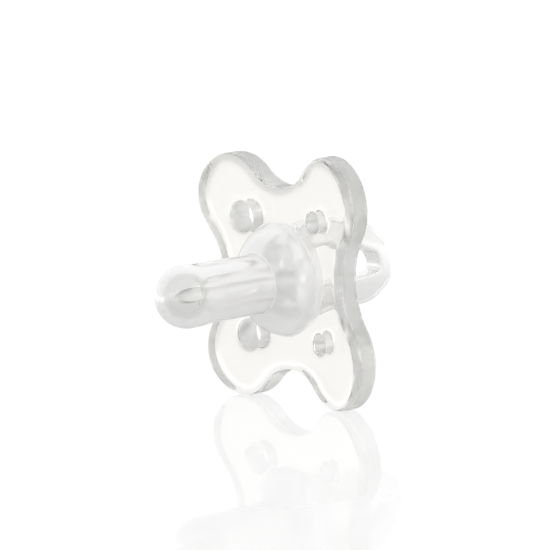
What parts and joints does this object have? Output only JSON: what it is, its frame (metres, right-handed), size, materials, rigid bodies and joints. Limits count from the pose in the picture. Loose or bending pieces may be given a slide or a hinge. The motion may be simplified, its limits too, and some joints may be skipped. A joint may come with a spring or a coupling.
{
  "type": "pacifier",
  "caption": "Clear one-piece silicone pacifier: a thick butterfly shield with round vents, a hollow bulb-tipped teat on a dome, and a soft loop handle.",
  "frame": {"origin": "where the teat's axis meets the mouth face of the shield", "axes": "+Y along the teat's axis, out of the mouth and through the handle; +X from the nose side of the shield to the chin side; +Z across the face, up when the pacifier stands on the lobes of one side"},
  "size_m": [0.0441, 0.0537, 0.046],
  "materials": {
    "shield_silicone": "clear glossy silicone, polished mould finish, faint milky haze",
    "teat_silicone": "clear silicone with a fine satin mould finish, slightly milkier than the shield",
    "handle_silicone": "clear glossy silicone, polished mould finish"
  },
  "bodies": {
    "root": {"shield": "shield_silicone", "teat": "teat_silicone", "handle_loop": "handle_silicone"}
  },
  "joints": []
}
